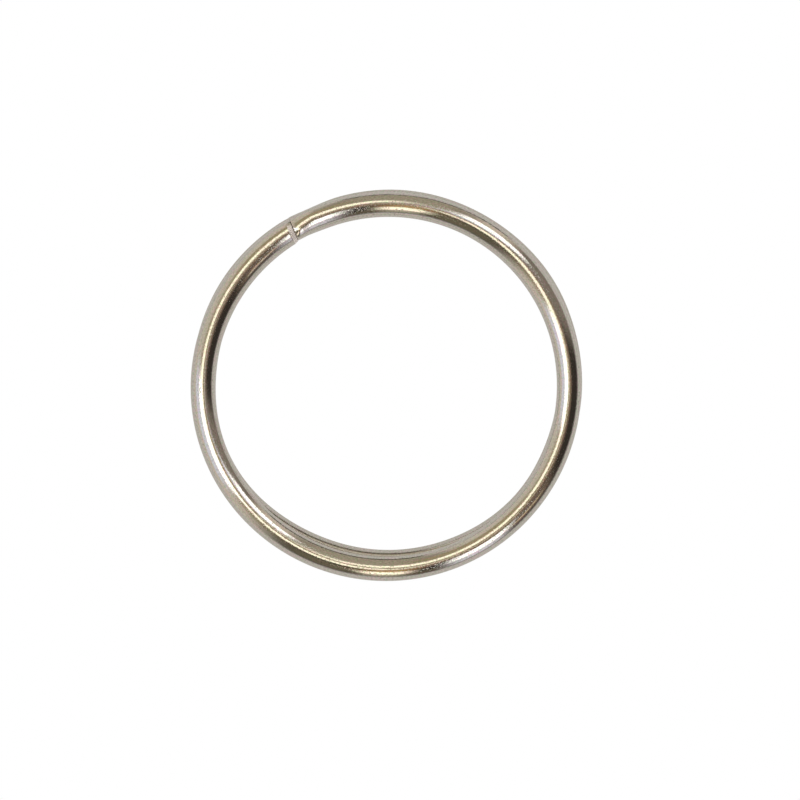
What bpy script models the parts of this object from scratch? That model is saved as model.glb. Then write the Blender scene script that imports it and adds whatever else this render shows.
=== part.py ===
"""Split key ring: one length of half-round spring wire wound into two turns.

The two turns lie flat side to flat side, so that the stack has a round section. The wire starts at a
square-cut end in the upper turn, runs once round, steps down through its own height at a joggle beside
that end, and runs once more round in the lower turn to the second end, on the other side of the joggle.

The ring opens because the half turn behind each end bends and twists. Each of these two arms is three
arcs, and each arc turns about its own local X axis on the one before it: the upper arm lifts and the
lower arm drops. The crossover coil is the rest of the wire, and both arms spring from it.

Metres and radians, +Z up. The origin is the centre of the ring, on the surface that the ring lies on.
"""

import math

import bmesh
import bpy
from mathutils import Matrix, Vector

# Wire and stack
WIRE_WIDTH = 0.0032
STACK_HEIGHT = 0.0032
TURN_CLEARANCE = 0.0002
EDGE_HEIGHT = 0.0003
ARCH_STEPS = 9  # an odd number leaves a flat land along the crown, which the ring rests on

# Centre line of each turn: the upper one is round, the lower one slightly oval and off centre
UPPER_RADIUS = 0.02331
LOWER_RADIUS = 0.02314
LOWER_SHIFT = 0.00019
LOWER_SHIFT_TOWARDS = math.radians(74)
LOWER_OVALITY = 0.00034
LOWER_LONG_AXIS = math.radians(8)

# Joggle, and the cut end on each side of it
JOGGLE_ANGLE = math.radians(120.8)
JOGGLE_HALF_SPAN = math.radians(1.55)
JOGGLE_STEPS = 10
END_OFFSET = math.radians(1.65)

# Free arms
ARCS = ("root", "middle", "tip")
ARC_SPAN = math.pi / len(ARCS)
HINGE_GAP = 0.0003
STEP_ANGLE = math.radians(4)

NICKEL_COLOUR = (0.66, 0.62, 0.55, 1.0)
NICKEL_ROUGHNESS = 0.22

WIRE_HEIGHT = (STACK_HEIGHT - TURN_CLEARANCE) / 2
UPPER_FLAT = (STACK_HEIGHT + TURN_CLEARANCE) / 2
LOWER_FLAT = (STACK_HEIGHT - TURN_CLEARANCE) / 2
HALF_GAP_ANGLE = HINGE_GAP / 2 / UPPER_RADIUS


def upper_radius(angle):
    return UPPER_RADIUS


def lower_radius(angle):
    shift = LOWER_SHIFT * math.cos(angle - LOWER_SHIFT_TOWARDS)
    ovality = LOWER_OVALITY * math.cos(2 * (angle - LOWER_LONG_AXIS))
    return LOWER_RADIUS + shift + ovality


def at(angle, radius, height):
    return Vector((radius * math.cos(angle), radius * math.sin(angle), height))


def evenly(start, end, step):
    count = max(1, round((end - start) / step))
    return [start + (end - start) * i / count for i in range(count + 1)]


def arch():
    """Rounded side of the wire as (across, above the flat side), from the outer edge to the inner one."""
    crown = math.sin(math.pi * (ARCH_STEPS // 2) / ARCH_STEPS)
    points = []
    for step in range(ARCH_STEPS + 1):
        turn = math.pi * step / ARCH_STEPS
        rise = EDGE_HEIGHT + (WIRE_HEIGHT - EDGE_HEIGHT) * math.sin(turn) / crown
        points.append((WIRE_WIDTH / 2 * math.cos(turn), rise))
    return points


def nickel_plate(name):
    material = bpy.data.materials.new(name)
    material.use_nodes = True
    shader = material.node_tree.nodes["Principled BSDF"]
    shader.inputs["Base Color"].default_value = NICKEL_COLOUR
    shader.inputs["Metallic"].default_value = 1.0
    shader.inputs["Roughness"].default_value = NICKEL_ROUGHNESS
    return material


def half_round_outline(name, side, collection):
    """Closed outline that an arc's curve is swept with. side is 1 where the arch is on top, -1 where below."""
    flat_side = [(-WIRE_WIDTH / 2, 0.0), (WIRE_WIDTH / 2, 0.0)]
    points = arch() + flat_side
    if side == 1:
        points.reverse()  # both outlines run the same way round, so both sweeps face outwards
    curve = bpy.data.curves.new(name, "CURVE")
    curve.dimensions = "2D"
    spline = curve.splines.new("POLY")
    spline.points.add(len(points) - 1)
    for point, (across, rise) in zip(spline.points, points):
        point.co = (across, side * rise, 0.0, 1.0)
    spline.use_cyclic_u = True
    outline = bpy.data.objects.new(name, curve)
    outline.hide_render = True
    outline.display_type = "WIRE"
    collection.objects.link(outline)
    return outline


def arc_piece(name, outline, path, placement, collection):
    """One arc, swept along points given in world coordinates, with its origin and axes at its placement."""
    curve = bpy.data.curves.new(name, "CURVE")
    curve.dimensions = "3D"
    curve.twist_mode = "Z_UP"
    curve.bevel_mode = "OBJECT"
    curve.bevel_object = outline
    curve.use_fill_caps = True
    spline = curve.splines.new("POLY")
    spline.points.add(len(path) - 1)
    for point, place in zip(spline.points, path):
        point.co = (*(placement.inverted() @ place), 1.0)
    curve.materials.append(nickel_plate(name))
    piece = bpy.data.objects.new(name, curve)
    collection.objects.link(piece)
    return piece


def free_arm(name, side, radius, flat, crossover, parts, guides):
    """Three hinged arcs from the crossover coil to a cut end. side is 1 for the upper arm, -1 for the lower."""
    outline = half_round_outline(name + "_outline", side, guides)
    tip_angle = JOGGLE_ANGLE + side * END_OFFSET
    middle_height = flat + side * WIRE_HEIGHT / 2
    tip = at(tip_angle, radius(tip_angle), middle_height)
    parent, parent_placement = crossover, Matrix.Identity(4)
    for number, arc in enumerate(ARCS):
        hinge_angle = tip_angle + side * (math.pi - number * ARC_SPAN)
        hinge = at(hinge_angle, radius(hinge_angle), middle_height)
        to_tip = tip - hinge
        # The axis lies square to the line from the hinge to the cut end, so turning it moves the end
        # straight away from the other turn.
        heading = math.atan2(-side * to_tip.x, side * to_tip.y)
        placement = Matrix.Translation(hinge) @ Matrix.Rotation(heading, 4, "Z")

        near = hinge_angle - side * HALF_GAP_ANGLE
        far = hinge_angle - side * (ARC_SPAN - HALF_GAP_ANGLE)
        if arc == ARCS[-1]:
            far = tip_angle
        angles = evenly(min(near, far), max(near, far), STEP_ANGLE)
        path = [at(angle, radius(angle), flat) for angle in angles]
        piece = arc_piece(f"{name}_{arc}", outline, path, placement, parts)
        piece.parent = parent
        piece.matrix_basis = parent_placement.inverted() @ placement
        parent, parent_placement = piece, placement


def crossover_section(travel, joggle):
    """Closed section of the crossover coil: the arch turns over from the top to the underside as it drops."""
    along = (travel - joggle) / (2 * JOGGLE_HALF_SPAN) + 0.5
    along = min(max(along, 0.0), 1.0)
    drop = along * along * (3 - 2 * along)
    radius = (1 - drop) * upper_radius(travel) + drop * lower_radius(travel)
    top, underside = [], []
    for across, rise in arch():
        top_height = (1 - drop) * (UPPER_FLAT + rise) + drop * LOWER_FLAT
        under_height = (1 - drop) * UPPER_FLAT + drop * (LOWER_FLAT - rise)
        top.append(at(travel, radius + across, top_height))
        underside.append(at(travel, radius + across, under_height))
    return top + underside[::-1]


def crossover_coil(collection):
    """The wire from one arm's root, down the joggle, to the other arm's root, lofted through sections."""
    joggle = JOGGLE_ANGLE + 2 * math.pi
    start = joggle - math.pi + END_OFFSET + HALF_GAP_ANGLE
    end = joggle + math.pi - END_OFFSET - HALF_GAP_ANGLE
    joggle_start = joggle - JOGGLE_HALF_SPAN
    joggle_end = joggle + JOGGLE_HALF_SPAN
    travels = evenly(start, joggle_start, STEP_ANGLE)
    travels += evenly(joggle_start, joggle_end, 2 * JOGGLE_HALF_SPAN / JOGGLE_STEPS)[1:-1]
    travels += evenly(joggle_end, end, STEP_ANGLE)

    wire = bmesh.new()
    rings = []
    for travel in travels:
        rings.append([wire.verts.new(place) for place in crossover_section(travel, joggle)])
    for ring, following in zip(rings, rings[1:]):
        for i in range(len(ring)):
            j = (i + 1) % len(ring)
            wire.faces.new((ring[i], ring[j], following[j], following[i]))
    wire.faces.new(rings[0])
    wire.faces.new(rings[-1])
    bmesh.ops.recalc_face_normals(wire, faces=wire.faces)
    mesh = bpy.data.meshes.new("crossover_coil")
    wire.to_mesh(mesh)
    wire.free()
    mesh.shade_smooth()
    mesh.set_sharp_from_angle(angle=math.radians(40))
    mesh.materials.append(nickel_plate("crossover_coil"))
    coil = bpy.data.objects.new("crossover_coil", mesh)
    collection.objects.link(coil)
    return coil


for old in list(bpy.data.objects):
    bpy.data.objects.remove(old, do_unlink=True)

ring_parts = bpy.data.collections.new("split_key_ring")
sweep_guides = bpy.data.collections.new("sweep_outlines")
bpy.context.scene.collection.children.link(ring_parts)
bpy.context.scene.collection.children.link(sweep_guides)

coil_body = crossover_coil(ring_parts)
free_arm("upper_arm", 1, upper_radius, UPPER_FLAT, coil_body, ring_parts, sweep_guides)
free_arm("lower_arm", -1, lower_radius, LOWER_FLAT, coil_body, ring_parts, sweep_guides)
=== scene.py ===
"""Split key ring: two turns of nickel-plated half-round spring wire, closed and lying flat."""

import math

import bpy
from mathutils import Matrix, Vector


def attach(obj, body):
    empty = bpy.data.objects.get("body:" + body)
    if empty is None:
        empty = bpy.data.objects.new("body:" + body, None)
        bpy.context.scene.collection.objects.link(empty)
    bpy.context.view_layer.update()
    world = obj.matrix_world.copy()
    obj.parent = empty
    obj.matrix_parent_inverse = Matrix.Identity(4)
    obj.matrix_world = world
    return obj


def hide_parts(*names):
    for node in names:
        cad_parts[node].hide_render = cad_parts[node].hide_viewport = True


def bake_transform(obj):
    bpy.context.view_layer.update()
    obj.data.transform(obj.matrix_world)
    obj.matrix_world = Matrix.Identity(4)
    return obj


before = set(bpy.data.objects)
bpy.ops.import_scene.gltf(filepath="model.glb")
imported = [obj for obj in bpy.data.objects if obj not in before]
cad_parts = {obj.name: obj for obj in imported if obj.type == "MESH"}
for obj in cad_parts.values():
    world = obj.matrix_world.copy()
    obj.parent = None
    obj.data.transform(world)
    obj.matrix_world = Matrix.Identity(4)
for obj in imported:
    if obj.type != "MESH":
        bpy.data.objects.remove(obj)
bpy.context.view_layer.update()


# ---------------------------------------------------------------------------------------------
# Crossover coil: the middle of the wire, which both arms spring from. It is half-round spring
# steel wound flat side to flat side, pressed down cold at the joggle, where it steps from the
# upper turn to the lower one beside the upper cut end, and nickel plated in a barrel.
# ---------------------------------------------------------------------------------------------
WIRE_WIDTH = 0.00314
STACK_HEIGHT = 0.0032
SEAM_BETWEEN_TURNS = 0.00007
WIRE_HEIGHT = (STACK_HEIGHT - SEAM_BETWEEN_TURNS) / 2
UPPER_FLAT = STACK_HEIGHT - WIRE_HEIGHT
UPPER_CORNER = (0.0003, 0.0003)  # how wide and how deep the edge of the flat side is rounded off
LOWER_CORNER = (0.00066, 0.0007)
CORNER_CURVE = 1.2
ACROSS_STEPS = 48

# A place along the wire is its travel: the degrees gone round from +X, from the upper cut end, once
# round in the upper turn, down the joggle and once round in the lower turn to the lower cut end.
UPPER_END = 121.05
JOGGLE_START = 477.8
JOGGLE_END = 480.99
LOWER_END = 837.3
TRAVEL_STEP = 0.6
LEAST_GAP = 0.1  # between one run of outlines and the next
FLEX_SPAN = 60.0

# The joggle is a rounded shoulder and then a steep face. It and both cuts run slightly askew across
# the wire, and a cut end's outlines are square to the wire again a few degrees behind its cut.
SHOULDER_DROP = 0.1
SHOULDER_CURVE = 2.6
FACE_SHARE = 0.04
FACE_HALF_SPAN = 0.14
# How far before the joggle's end the lower turn's rubbed faces, painted darker as painted shade, begin.
SHADED_RUBBED_BEFORE_END = 0.1
SEAM_SLANT = 0.14
SQUARE_BEHIND_CUT = 5.0
JOGGLE_LEAD = 2.0
JOGGLE_STEP = 0.04
JOGGLE_STEPS = 165
AFTER_JOGGLE_STEPS = 240

# Each turn's centre line is a circle, pulled slightly out of round by the coiling rolls, which also
# push the crown to one side: how far, in metres, which way in degrees, and how many times in a turn.
UPPER_RADIUS = 0.0233
UPPER_PULLS = ((0.00021, -101.7, 1), (0.0001, 23.7, 2), (0.00004, 59.9, 3))
LOWER_RADIUS = 0.02323
LOWER_PULLS = (
    (0.00033, 92.4, 1),
    (0.00022, 11.5, 2),
    (0.00013, -49.4, 3),
    (0.00008, 34.7, 4),
    (0.00007, 26.1, 6),
)
CROWN_LEAN = 0.00002
CROWN_PULLS = ((0.00017, 58.2, 1), (0.00009, -72.2, 2), (0.00002, 13.1, 3))
MEAN_RADIUS = 0.0233

# Keys levered in on the right have sprung the lower turn outwards there.
SPRUNG_OUT = 0.00024
SPRUNG_TRAVEL = 717.0
SPRUNG_SPAN = 26.0

# The joggle tool pushes the crown inwards, and the wire crosses to the lower turn's path as it steps
# down. The lower end is tucked in under it.
CROWN_PRESSED = 0.0005
PRESSED_BEFORE = 5.0
PRESSED_SPAN = 8.0
CROSSING_BEFORE = 7.0
CROSSING_SPAN = 13.0
TUCK_SPAN = 14.0
TUCK_SHARE = 0.7

# The shears leave the edge of a cut end drawn down, over a short length.
BURR_LONG = 0.00062
BURR_DEEP = 0.00014
BURR_CURVE = 1.3
BURR_STEPS = 8
BURR_SPAN = math.degrees(BURR_LONG / MEAN_RADIUS)


def pulled(travel, mean, pulls):
    for amount, towards, times in pulls:
        mean += amount * math.cos(math.radians(times * (travel - towards)))
    return mean


def smooth_step(value):
    value = min(max(value, 0.0), 1.0)
    return value * value * (3 - 2 * value)


def joggle_drop(travel):
    """How far the top of the wire has gone down at the joggle: a rounded shoulder, then a steep face."""
    along = min(max((travel - JOGGLE_START) / (JOGGLE_END - JOGGLE_START), 0.0), 1.0)
    face = smooth_step((along - 1 + FACE_SHARE) / FACE_SHARE)
    return SHOULDER_DROP * along**SHOULDER_CURVE + (1 - SHOULDER_DROP) * face


def centre_radius(travel):
    """Radius of the wire's middle."""
    crossing = smooth_step((travel - JOGGLE_START + CROSSING_BEFORE) / CROSSING_SPAN)
    radius = (1 - crossing) * pulled(travel, UPPER_RADIUS, UPPER_PULLS)
    radius += crossing * pulled(travel, LOWER_RADIUS, LOWER_PULLS)
    radius += SPRUNG_OUT * smooth_step(1 - abs(travel - SPRUNG_TRAVEL) / SPRUNG_SPAN)
    tuck = TUCK_SHARE * smooth_step((travel - LOWER_END + TUCK_SPAN) / TUCK_SPAN)
    if tuck > 0:
        radius += tuck * (centre_radius(travel - 360) - radius)
    return radius


def wire_section(travel, inset=0.0):
    """The wire's outline at one travel: over the top from the outer edge to the inner, then back below.
    An inset shrinks it on all sides."""
    half = WIRE_WIDTH / 2
    radius = centre_radius(travel)
    pressed = CROWN_PRESSED * smooth_step((travel - JOGGLE_START + PRESSED_BEFORE) / PRESSED_SPAN)
    behind_cut = min(travel - UPPER_END, LOWER_END - travel)
    slanted = max(0.0, 1 - behind_cut / SQUARE_BEHIND_CUT)
    top, below = [], []
    for step in range(ACROSS_STEPS + 1):
        turn = math.pi * step / ACROSS_STEPS
        across = half * math.cos(turn)
        slant = SEAM_SLANT * across / MEAN_RADIUS
        towards = math.radians(travel) - slanted * slant
        outward = Vector((math.cos(towards), math.sin(towards), 0))
        top_drop = joggle_drop(travel + math.degrees(slant))
        low_drop = 1 - joggle_drop(JOGGLE_START + JOGGLE_END - travel - math.degrees(slant))
        for outline, drop in ((top, top_drop), (below, low_drop)):
            wide, deep = ((1 - drop) * a + drop * b for a, b in zip(UPPER_CORNER, LOWER_CORNER))
            arch = deep + (WIRE_HEIGHT - deep) * math.sin(turn)
            flat = deep * max(0.0, 1 - (half - abs(across)) / wide) ** CORNER_CURVE
            lean = 0.0
            if outline is top:
                lean = (1 - drop) * (pulled(travel, CROWN_LEAN, CROWN_PULLS) - pressed)
                height = (1 - drop) * (UPPER_FLAT + arch) + drop * (WIRE_HEIGHT - flat)
            else:
                height = (1 - drop) * (UPPER_FLAT + flat) + drop * (WIRE_HEIGHT - arch)
            aside = (across + lean * math.sin(turn)) * (1 - inset / half)
            middle = (1 - drop) * UPPER_FLAT + WIRE_HEIGHT / 2
            height = middle + (height - middle) * (1 - 2 * inset / WIRE_HEIGHT)
            outline.append(outward * (radius + aside) + Vector((0, 0, height)))
    return top + below[-2:0:-1]


def wear_and_painted_light(travel, inset, point):
    """How far the plate is rubbed, with painted shade between the turns, and how far it is sheared and
    painted pale as a painted highlight, at one point of an outline.
    """
    half = WIRE_WIDTH / 2
    across = half * math.cos(math.pi * point / ACROSS_STEPS)
    on_top = point <= ACROSS_STEPS
    in_lower_turn = travel > JOGGLE_END - SHADED_RUBBED_BEFORE_END
    corner = LOWER_CORNER[0] if in_lower_turn else UPPER_CORNER[0]
    # The flat faces where the turns lie on each other are rubbed, and painted darker there as painted
    # shade between the turns.
    rubbed = on_top == in_lower_turn and half - abs(across) > corner
    reached = travel + math.degrees(SEAM_SLANT * across / MEAN_RADIUS)
    # The joggle's steep face and the drawn-down edge of a cut end are sheared, and painted pale there as a
    # painted highlight.
    on_joggle_face = on_top and abs(reached - JOGGLE_END) < FACE_HALF_SPAN
    sheared = on_joggle_face or inset > 0
    # The shearing, and the pale painted highlight on it, fades out towards the outer edge of the wire.
    return float(rubbed), float(sheared) * smooth_step(1.6 - 2.2 * across / half)


def wire_stations(start, end):
    """The travel and inset of each outline along a length of the wire. They stand closer together round
    the joggle and over the drawn-down edge of a cut end."""
    count = math.ceil((end - start) / TRAVEL_STEP)
    travels = [start + (end - start) * i / count for i in range(count + 1)]
    if start < JOGGLE_START < end:
        fine = [JOGGLE_START - JOGGLE_LEAD + JOGGLE_STEP * i for i in range(JOGGLE_STEPS + 1)]
        rest = end - fine[-1]
        after = [fine[-1] + rest * i / AFTER_JOGGLE_STEPS for i in range(1, AFTER_JOGGLE_STEPS + 1)]
        travels = [travel for travel in travels if travel < fine[0] - 2 * LEAST_GAP] + fine + after
    if start == UPPER_END:
        travels = [travel for travel in travels if travel > start + BURR_SPAN + LEAST_GAP]
    if end == LOWER_END:
        travels = [travel for travel in travels if travel < end - BURR_SPAN - LEAST_GAP]

    stations = [(travel, 0.0) for travel in travels]
    shares = [step / BURR_STEPS for step in range(BURR_STEPS + 1)]
    burr = [(BURR_SPAN * share, BURR_DEEP * (1 - share) ** BURR_CURVE) for share in shares]
    if start == UPPER_END:
        stations = [(start + behind, inset) for behind, inset in burr] + stations
    if end == LOWER_END:
        stations = stations + [(end - behind, inset) for behind, inset in reversed(burr)]
    return stations


def wire_piece(name, start, end, material):
    """A closed length of the wire, whole to the edge at an inner joint and drawn down at a cut end."""
    stations = wire_stations(start, end)
    rings = [wire_section(travel, inset) for travel, inset in stations]
    size = len(rings[0])
    girth = [0.0]
    outline = wire_section(UPPER_END)
    for i in range(size):
        girth.append(girth[-1] + (outline[(i + 1) % size] - outline[i]).length * 1000)
    along = [math.radians(travel) * MEAN_RADIUS * 1000 for travel, inset in stations]

    faces, wire_uv, bake_uv = [], [], []
    for i in range(len(rings) - 1):
        for j in range(size):
            k = (j + 1) % size
            faces.append((i * size + j, i * size + k, (i + 1) * size + k, (i + 1) * size + j))
            for a, b in ((i, j), (i, j + 1), (i + 1, j + 1), (i + 1, j)):
                wire_uv.append((along[a], girth[b]))
                bake_uv.append((0.01 + 0.98 * a / (len(rings) - 1), 0.01 + 0.9 * girth[b] / girth[-1]))
    last = (len(rings) - 1) * size
    faces.append(tuple(range(size - 1, -1, -1)))
    faces.append(tuple(range(last, last + size)))
    for place, station, order in ((0.02, 0, range(size - 1, -1, -1)), (0.12, -1, range(size))):
        for j in order:
            turn = 2 * math.pi * j / size
            wire_uv.append((along[station] + 0.4 * math.sin(turn), girth[j]))
            bake_uv.append((place + 0.025 * (1 + math.cos(turn)), 0.93 + 0.025 * (1 + math.sin(turn))))

    mesh = bpy.data.meshes.new(name)
    mesh.from_pydata([place for ring in rings for place in ring], [], faces)
    for layer, values in (("wire", wire_uv), ("OFBake", bake_uv)):
        uv = mesh.uv_layers.new(name=layer)
        uv.data.foreach_set("uv", [number for pair in values for number in pair])
    worn_and_painted = [wear_and_painted_light(travel, inset, j) for travel, inset in stations for j in range(size)]
    for layer, values in zip(("rubbed", "sheared"), zip(*worn_and_painted)):
        mesh.attributes.new(layer, "FLOAT", "POINT").data.foreach_set("value", values)
    mesh.validate()
    mesh.shade_smooth()
    mesh.set_sharp_from_angle(angle=math.radians(50))
    mesh.materials.append(material)
    piece = bpy.data.objects.new(name, mesh)
    bpy.context.scene.collection.objects.link(piece)
    return piece


class Flow:
    """A number, colour or direction on its way through a shader. An expression on flows adds its nodes."""

    def __init__(self, tree, socket=None):
        self.tree = tree
        self.socket = socket

    def node(self, kind, settings=None, inputs=None, output=0):
        made = self.tree.nodes.new(kind)
        for name, value in (settings or {}).items():
            if name == "stops":
                ramp = made.color_ramp
                while len(ramp.elements) < len(value):
                    ramp.elements.new(1.0)
                for element, (position, colour) in zip(ramp.elements, value):
                    element.position = position
                    element.color = colour
            else:
                setattr(made, name, value)
        for name, value in (inputs or {}).items():
            if isinstance(value, Flow):
                self.tree.links.new(value.socket, made.inputs[name])
            else:
                made.inputs[name].default_value = value
        return Flow(self.tree, made.outputs[output])

    def math(self, operation, *values):
        return self.node("ShaderNodeMath", {"operation": operation}, dict(enumerate(values)))

    def __add__(self, other):
        return self.math("ADD", self, other)

    def __radd__(self, other):
        return self.math("ADD", other, self)

    def __sub__(self, other):
        return self.math("SUBTRACT", self, other)

    def __rsub__(self, other):
        return self.math("SUBTRACT", other, self)

    def __mul__(self, other):
        return self.math("MULTIPLY", self, other)

    def __rmul__(self, other):
        return self.math("MULTIPLY", other, self)

    def __truediv__(self, other):
        return self.math("DIVIDE", self, other)

    def __abs__(self):
        return self.math("ABSOLUTE", self)

    def fade(self, start, end):
        """0 at start and 1 at end, eased at both."""
        inputs = {"Value": self, "From Min": start, "From Max": end}
        return self.node("ShaderNodeMapRange", {"interpolation_type": "SMOOTHSTEP"}, inputs)

    def towards(self, other, share):
        """This colour mixed with another one by a share."""
        inputs = {"Factor": share, 6: self, 7: other}
        return self.node("ShaderNodeMix", {"data_type": "RGBA"}, inputs, 2)


ARCH_SHARE = 0.92  # the length round the arch of the wire, as a share of a half circle's of its width


def nickel_plate(name):
    """Bright nickel over drawn steel wire, with die lines, specks from the barrel, and handling marks."""
    material = bpy.data.materials.new(name)
    material.use_nodes = True
    tree = material.node_tree
    shader = tree.nodes["Principled BSDF"]
    start = Flow(tree)
    place = start.node("ShaderNodeUVMap", {"uv_map": "wire"})
    along = start.node("ShaderNodeSeparateXYZ", None, {"Vector": place}, 0)
    around = start.node("ShaderNodeSeparateXYZ", None, {"Vector": place}, 1)

    def cloud(length, width, seed, detail=2.0):
        """Noise in patches of a length along the wire and a width round it, in millimetres."""
        stretched = {"X": along / length, "Y": around / width, "Z": seed}
        vector = start.node("ShaderNodeCombineXYZ", None, stretched)
        return start.node("ShaderNodeTexNoise", None, {"Vector": vector, "Scale": 1.0, "Detail": detail})

    def worn_and_painted(layer):
        """How far the plate is worn in one way, from 0 to 1, as the mesh carries it, with the painted
        light that goes with it: painted shade where rubbed, a painted highlight where sheared.
        """
        return start.node("ShaderNodeAttribute", {"attribute_name": layer}, None, "Fac")

    def knock(travel, across, length, width):
        """A mark at a travel and a distance outwards from the middle of the wire, in millimetres."""
        middle = math.radians(travel) * MEAN_RADIUS * 1000
        half = WIRE_WIDTH * 500
        side = ARCH_SHARE * half * math.acos(across / half)
        ahead = (along - middle) / length
        aside = (around - side) / width
        return (ahead * ahead + aside * aside).fade(1.0, 0.3)

    die_lines = cloud(12.0, 0.06, 0.0, 3.0)
    grain = cloud(0.22, 0.1, 4.0)
    ripple = cloud(1.4, 0.5, 6.0, 1.0)
    blush = cloud(2.6, 0.35, 9.0, 3.0)
    mottle = cloud(0.4, 0.22, 14.0)
    frost = cloud(0.32, 0.1, 17.0, 1.0)
    specks = cloud(0.2, 0.14, 21.0, 1.0).fade(0.58, 0.72)

    # The plate is faintly yellow, blushes pink and green where it is thinner, and is frosted in streaks.
    colour = start.node("ShaderNodeRGB")
    colour.socket.default_value = (0.66, 0.63, 0.57, 1.0)
    colour = colour.towards((0.71, 0.60, 0.58, 1.0), blush.fade(0.47, 0.60))
    colour = colour.towards((0.57, 0.64, 0.50, 1.0), mottle.fade(0.50, 0.62))
    colour = colour.towards((0.47, 0.45, 0.41, 1.0), frost.fade(0.50, 0.80))
    colour = colour.towards((0.80, 0.77, 0.71, 1.0), frost.fade(0.50, 0.20))
    colour = colour.towards((0.34, 0.32, 0.29, 1.0), specks * 0.6)

    # Where the turns lie on each other, the plate is rubbed dull and rougher, and its colour is darkened
    # there as painted shade between the turns.
    rubbed = worn_and_painted("rubbed")
    colour = colour.towards((0.56, 0.53, 0.48, 1.0), rubbed * (0.7 + 0.3 * mottle))

    # The shears leave the edge of a cut end rough, as the tool does the joggle's steep face. Both are
    # painted pale and less metallic, a painted highlight that lifts the shade in the slit at the joggle.
    sheared = worn_and_painted("sheared")
    colour = colour.towards((0.98, 0.93, 0.90, 1.0), sheared)
    tree.links.new(colour.socket, shader.inputs["Base Color"])

    roughness = 0.02 + 0.05 * blush + 0.05 * grain + 0.12 * specks
    roughness = roughness + 0.35 * rubbed + 0.42 * sheared
    tree.links.new(roughness.socket, shader.inputs["Roughness"])
    metal = 1 - 0.6 * sheared
    tree.links.new(metal.socket, shader.inputs["Metallic"])

    # A nick and a scratch behind the upper cut end, a raised fleck on the left, and bruises on the
    # right, where keys have been levered in.
    nick = knock(129.0, 0.05, 0.5, 0.13)
    scratch = knock(137.0, -0.75, 2.6, 0.05)
    fleck = knock(181.5, 0.6, 0.35, 0.12)
    bruise = knock(354.0, 1.45, 1.9, 0.3) * cloud(0.3, 0.25, 33.0).fade(0.45, 0.6)

    # The crown of the coiled wire slopes by about a degree all round, in two slight waves a turn.
    turned = along / (MEAN_RADIUS * 1000)
    climb = along * (-0.001 * math.tan(math.radians(0.9)))
    phase = turned * 2 - math.radians(35.6)
    climb = climb - phase.math("SINE", phase) * (MEAN_RADIUS / 2 * math.tan(math.radians(0.34)))

    height = climb + die_lines * 0.0000018 + grain * 0.0000015 + ripple * 0.000002 + mottle * 0.0000015
    height = height - specks * 0.000003 - nick * 0.00003 - scratch * 0.000012
    height = height + fleck * 0.00002 - bruise * 0.00003
    bump = start.node("ShaderNodeBump", None, {"Height": height, "Distance": 1.0, "Strength": 1.0})
    tree.links.new(bump.socket, shader.inputs["Normal"])
    return material


UPPER_ROOT = UPPER_END + 180
LOWER_ROOT = LOWER_END - 180
plate = nickel_plate("nickel_plate")
coil = wire_piece("crossover_coil_wire", UPPER_ROOT + FLEX_SPAN / 2, LOWER_ROOT - FLEX_SPAN / 2, plate)
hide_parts("crossover_coil")
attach(coil, "crossover_coil")


upper_bends = (
    ("upper_tip_bend", "upper_arm_tip", "upper_arm_middle", UPPER_END + FLEX_SPAN),
    ("upper_middle_bend", "upper_arm_middle", "upper_arm_root", UPPER_END + 2 * FLEX_SPAN),
    ("upper_root_bend", "upper_arm_root", "crossover_coil", UPPER_ROOT),
)
for name, before, after, flexure in upper_bends:
    first = flexure - FLEX_SPAN / 2
    last = flexure + FLEX_SPAN / 2
    bend = wire_piece(name, first, last, plate)
    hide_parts(before)
    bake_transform(bend)

upper_cut_end = wire_piece("upper_cut_end", UPPER_END, UPPER_END + FLEX_SPAN / 2, plate)
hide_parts("upper_arm_tip")
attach(upper_cut_end, "upper_arm_tip")


# ---------------------------------------------------------------------------------------------
# Lower free arm: the same half turn on the other side, from the coil to the lower cut end, which
# lies under the joggle.
# ---------------------------------------------------------------------------------------------
lower_bends = (
    ("lower_root_bend", "crossover_coil", "lower_arm_root", LOWER_ROOT),
    ("lower_middle_bend", "lower_arm_root", "lower_arm_middle", LOWER_ROOT + FLEX_SPAN),
    ("lower_tip_bend", "lower_arm_middle", "lower_arm_tip", LOWER_ROOT + 2 * FLEX_SPAN),
)
for name, before, after, flexure in lower_bends:
    first = flexure - FLEX_SPAN / 2
    last = flexure + FLEX_SPAN / 2
    bend = wire_piece(name, first, last, plate)
    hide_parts(after)
    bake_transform(bend)

lower_cut_end = wire_piece("lower_cut_end", LOWER_END - FLEX_SPAN / 2, LOWER_END, plate)
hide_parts("lower_arm_tip")
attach(lower_cut_end, "lower_arm_tip")


# ---------------------------------------------------------------------------------------------
# Floor: a plain sheet of white paper, evenly lit. It lies a little below the ring, so that the lower
# arm has room to open.
# ---------------------------------------------------------------------------------------------
FLOOR_DEPTH = 0.007
FLOOR_REACH = 3.0
paper = bpy.data.materials.new("white_paper")
paper.use_nodes = True
paper_tree = paper.node_tree
paper_tree.nodes.clear()
paper_lit = Flow(paper_tree).node("ShaderNodeRGB")
paper_lit.socket.default_value = (0.66, 0.63, 0.61, 1.0)
seen_straight = paper_lit.node("ShaderNodeLightPath", None, None, "Is Camera Ray")
paper_lit = paper_lit.towards((1.0, 1.0, 1.0, 1.0), seen_straight)
paper_glow = paper_lit.node("ShaderNodeEmission", None, {"Color": paper_lit})
paper_output = paper_tree.nodes.new("ShaderNodeOutputMaterial")
paper_tree.links.new(paper_glow.socket, paper_output.inputs["Surface"])

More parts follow.
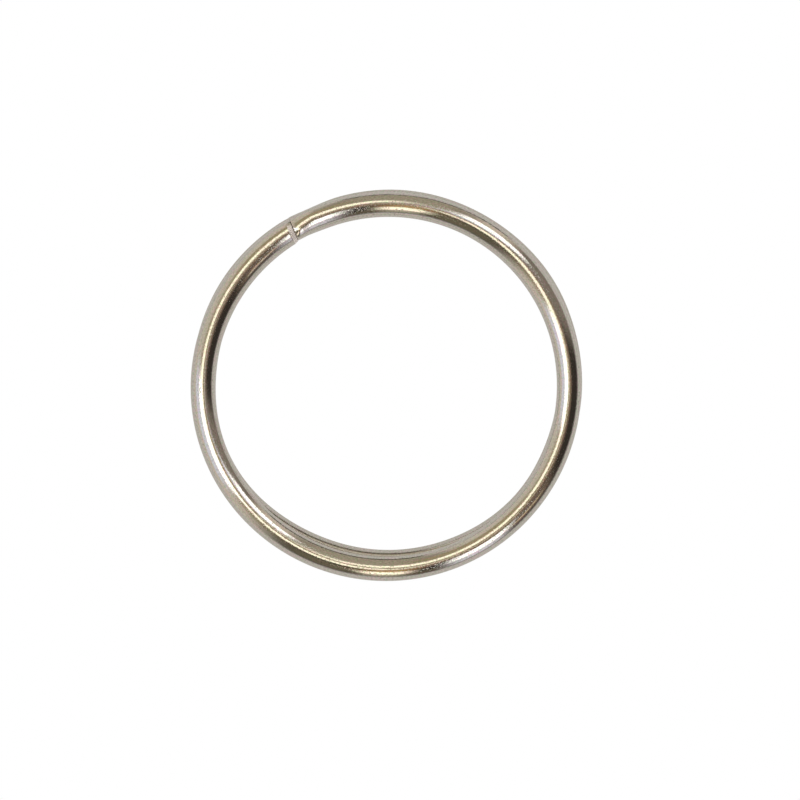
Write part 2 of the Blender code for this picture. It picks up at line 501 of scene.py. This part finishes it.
sheet = bpy.data.meshes.new("floor")
corners = [(-FLOOR_REACH, -FLOOR_REACH, -FLOOR_DEPTH), (FLOOR_REACH, -FLOOR_REACH, -FLOOR_DEPTH)]
corners += [(FLOOR_REACH, FLOOR_REACH, -FLOOR_DEPTH), (-FLOOR_REACH, FLOOR_REACH, -FLOOR_DEPTH)]
sheet.from_pydata(corners, [], [(0, 1, 2, 3)])
sheet.materials.append(paper)
floor = bpy.data.objects.new("floor", sheet)
bpy.context.scene.collection.objects.link(floor)


# ---------------------------------------------------------------------------------------------
# Studio: what the plating reflects. A pale wall stands on the left and a dark one on the right,
# with cards in front of them, four soft boxes and, overhead, a curved strip lamp. Directions are
# in degrees, round from +X and down from straight up.
# ---------------------------------------------------------------------------------------------
studio = bpy.data.worlds.new("studio")
bpy.context.scene.world = studio
studio.use_nodes = True
studio_tree = studio.node_tree
backdrop = studio_tree.nodes["Background"]
sky = Flow(studio_tree)
look = sky.node("ShaderNodeTexCoord", None, None, "Generated")
upward = sky.node("ShaderNodeSeparateXYZ", None, {"Vector": look}, 2)
from_top = upward.math("ARCCOSINE", upward) * (180 / math.pi)


def facing(azimuth):
    """How many degrees round a direction lies from an azimuth, from -180 to 180."""
    angle = math.radians(azimuth)
    ahead = sky.node(
        "ShaderNodeVectorMath",
        {"operation": "DOT_PRODUCT"},
        {0: look, 1: (math.cos(angle), math.sin(angle), 0)},
        "Value",
    )
    aside = sky.node(
        "ShaderNodeVectorMath",
        {"operation": "DOT_PRODUCT"},
        {0: look, 1: (-math.sin(angle), math.cos(angle), 0)},
        "Value",
    )
    return ahead.math("ARCTAN2", aside, ahead) * (180 / math.pi)


def card(azimuth, half_width, top, half_height, softness):
    """Where a soft-edged card is seen."""
    sideways = abs(facing(azimuth)).fade(half_width + softness, half_width - softness)
    height = abs(from_top - top).fade(half_height + softness, half_height - softness)
    return sideways * height


# The colours of the pale wall and the dark one, from straight up, at 0, to 100 degrees down from it, at 1.
wall_stops = [
    (0.00, (0.37, 0.28, 0.18, 1.0)),
    (0.28, (0.42, 0.35, 0.24, 1.0)),
    (0.38, (0.55, 0.48, 0.37, 1.0)),
    (0.48, (0.70, 0.63, 0.54, 1.0)),
    (0.90, (0.75, 0.69, 0.61, 1.0)),
]
dark_stops = [
    (0.04, (0.38, 0.27, 0.18, 1.0)),
    (0.12, (0.23, 0.165, 0.125, 1.0)),
    (0.20, (0.05, 0.04, 0.033, 1.0)),
    (0.60, (0.045, 0.038, 0.034, 1.0)),
    (0.68, (0.20, 0.18, 0.17, 1.0)),
    (0.78, (0.60, 0.57, 0.55, 1.0)),
]
wall = sky.node("ShaderNodeValToRGB", {"stops": wall_stops}, {"Fac": from_top / 100})
dark = sky.node("ShaderNodeValToRGB", {"stops": dark_stops}, {"Fac": from_top / 100})
light = dark.towards(wall, abs(facing(168.0)).fade(73.0, 48.0))
light = light.towards((0.68, 0.65, 0.62, 1.0), from_top.fade(78.0, 86.0))

# The strip lamp runs nearer to straight overhead towards its two ends.
strip_round = facing(162.0)
strip_top = 18.0 - 5.0 * (strip_round / 60.0) * (strip_round / 60.0)
strip_reach = abs(facing(172.0)).fade(102.0, 84.0)
strip = abs(from_top - strip_top).fade(11.0, 4.0) * strip_reach

# Grey and tinted cards, and the dark slot between the table and the wall behind. Each is given by its
# azimuth, half width, angle from the top, half height, softness and colour.
cards = (
    (84.0, 21.0, 45.0, 36.0, 8.0, (0.45, 0.40, 0.31, 1.0)),
    (76.0, 27.0, 84.5, 4.5, 2.0, (0.03, 0.025, 0.02, 1.0)),
    (121.0, 20.0, 37.0, 12.0, 6.0, (0.44, 0.36, 0.23, 1.0)),
    (27.0, 15.0, 36.0, 34.0, 8.0, (0.29, 0.245, 0.21, 1.0)),
    (247.0, 11.0, 44.0, 20.0, 6.0, (0.185, 0.16, 0.11, 1.0)),
    (275.0, 16.0, 56.0, 10.0, 5.0, (0.15, 0.125, 0.09, 1.0)),
    (318.0, 10.0, 38.0, 20.0, 5.0, (0.21, 0.155, 0.12, 1.0)),
    (317.0, 6.0, 41.0, 3.5, 2.0, (0.85, 0.66, 0.45, 1.0)),
    (50.5, 11.0, 9.0, 6.0, 4.0, (1.00, 1.02, 1.25, 1.0)),
    (53.0, 8.0, 52.0, 22.0, 6.0, (0.78, 0.68, 0.58, 1.0)),
    (190.0, 19.0, 50.0, 14.0, 6.0, (0.88, 0.87, 1.02, 1.0)),
    (267.0, 7.5, 22.0, 9.0, 4.0, (0.62, 0.40, 0.19, 1.0)),
    (267.0, 6.0, 56.0, 10.0, 4.0, (0.58, 0.52, 0.42, 1.0)),
    (298.0, 9.5, 54.0, 13.0, 5.0, (0.90, 0.86, 0.98, 1.0)),
)
for azimuth, half_width, top, half_height, softness, colour in cards:
    light = light.towards(colour, card(azimuth, half_width, top, half_height, softness))
light = light.towards((1.80, 1.68, 1.38, 1.0), strip)

# Soft boxes, given in the same way. They stand in front of the strip.
boxes = (
    (50.5, 12.0, 24.5, 12.0, 3.5, (2.3, 2.25, 2.3, 1.0)),
    (190.5, 18.5, 25.0, 11.5, 3.5, (2.3, 2.25, 2.3, 1.0)),
    (267.0, 7.5, 38.5, 10.0, 4.0, (1.95, 1.78, 1.45, 1.0)),
    (298.0, 10.0, 29.0, 12.0, 3.5, (2.3, 2.25, 2.3, 1.0)),
)
for azimuth, half_width, top, half_height, softness, colour in boxes:
    light = light.towards(colour, card(azimuth, half_width, top, half_height, softness))

# The camera sees plain white behind the ring.
in_view = sky.node("ShaderNodeLightPath", None, None, "Is Camera Ray")
light = light.towards((1.0, 1.0, 1.0, 1.0), in_view)
studio_tree.links.new(light.socket, backdrop.inputs["Color"])


# ---------------------------------------------------------------------------------------------
# Camera: straight above the ring, a little to its right and in front, so the ring sits up and to the
# left in the frame. The lens is long, so all of the ring is seen from nearly straight above.
# ---------------------------------------------------------------------------------------------
LENS = 200.0
VIEW_WIDTH = 0.10208
camera_data = bpy.data.cameras.new("camera")
camera_data.lens = LENS
camera_data.sensor_width = 36.0
camera = bpy.data.objects.new("camera", camera_data)
camera.location = (0.0017, -0.0019, VIEW_WIDTH / camera_data.sensor_width * LENS + 0.002)
bpy.context.scene.collection.objects.link(camera)
bpy.context.scene.camera = camera
bpy.context.scene.view_settings.view_transform = "Standard"
